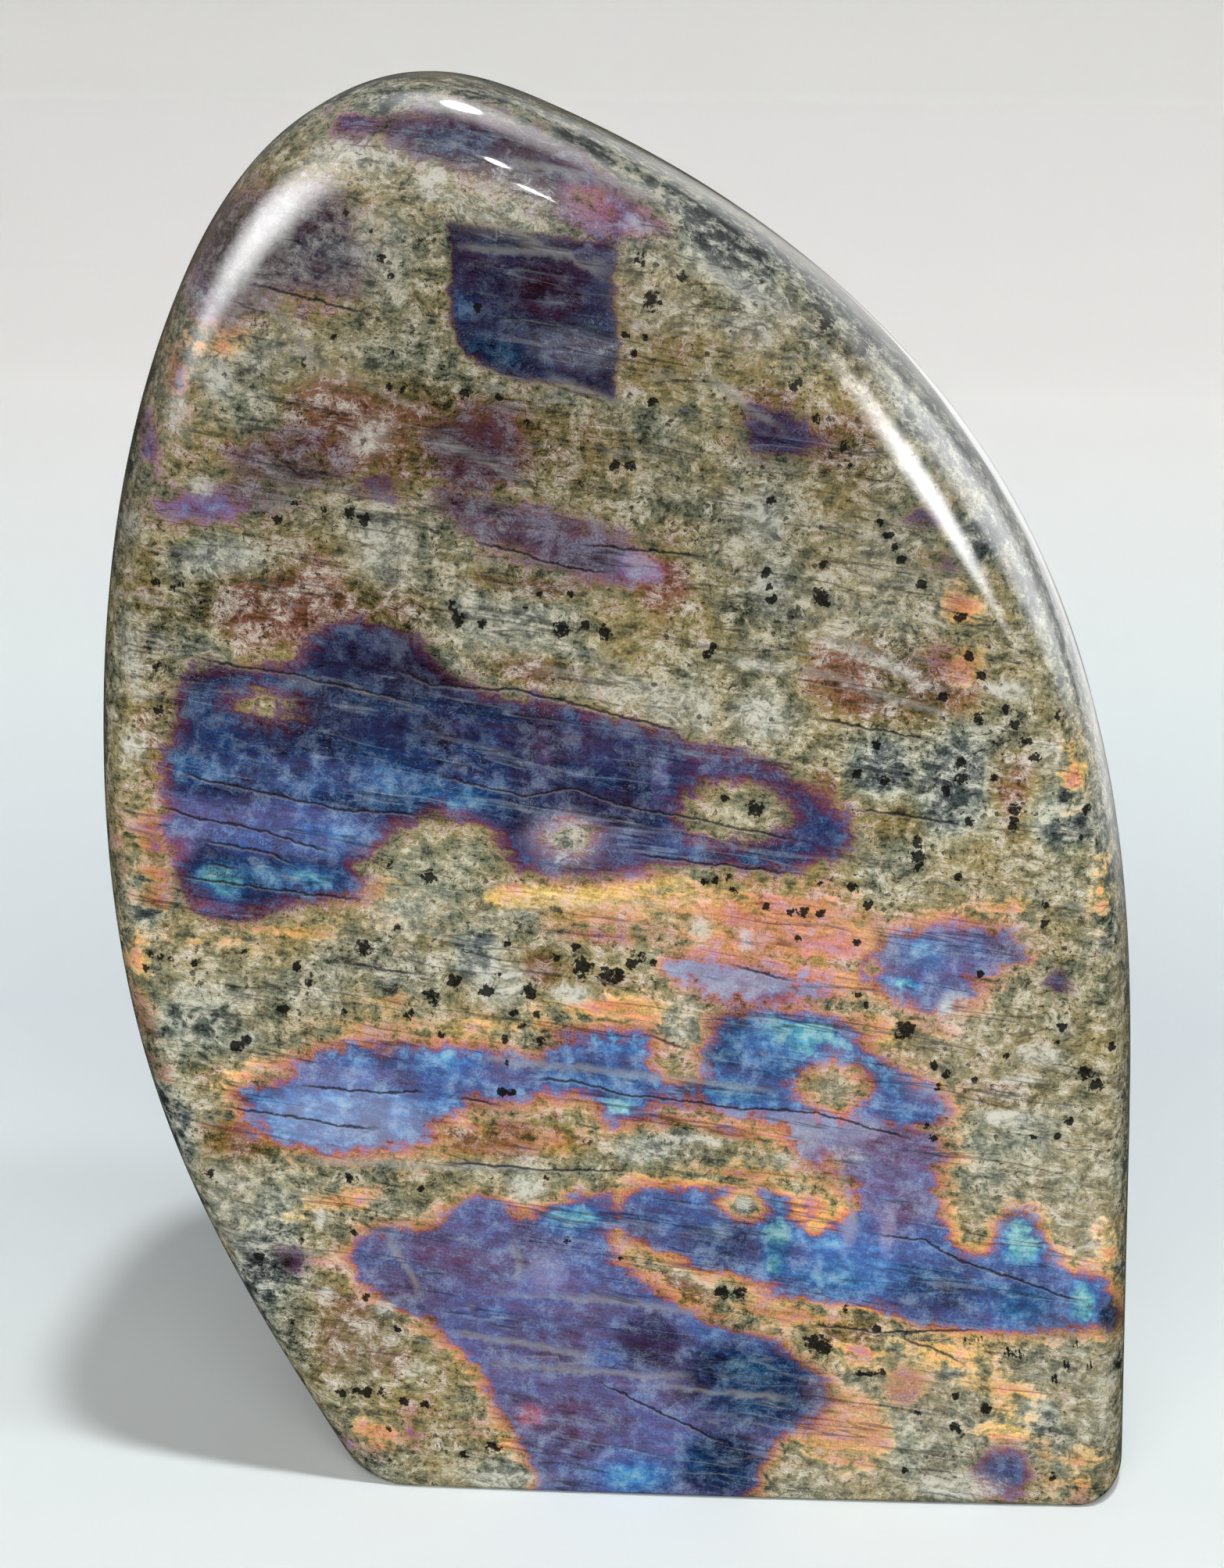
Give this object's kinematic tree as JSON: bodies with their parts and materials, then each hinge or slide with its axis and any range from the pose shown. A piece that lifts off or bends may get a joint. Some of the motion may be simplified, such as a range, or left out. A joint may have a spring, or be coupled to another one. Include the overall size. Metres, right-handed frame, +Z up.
{
  "type": "polished labradorite free form",
  "caption": "Upright slab of polished labradorite with a rounded outline, a nearly flat show face and a flat cut base that it stands on.",
  "frame": {"origin": "middle of the stone's bounding box, on the surface that it stands on", "axes": "+Z up from the base to the crest, +X to the right as the show face is seen, -Y out of the show face"},
  "size_m": [0.1155, 0.055, 0.1585],
  "materials": {
    "labradorite": "high polish over grey-olive feldspar with blue, violet and orange flash, white veins and black specks"
  },
  "bodies": {
    "root": {"labradorite": "labradorite"}
  },
  "joints": []
}
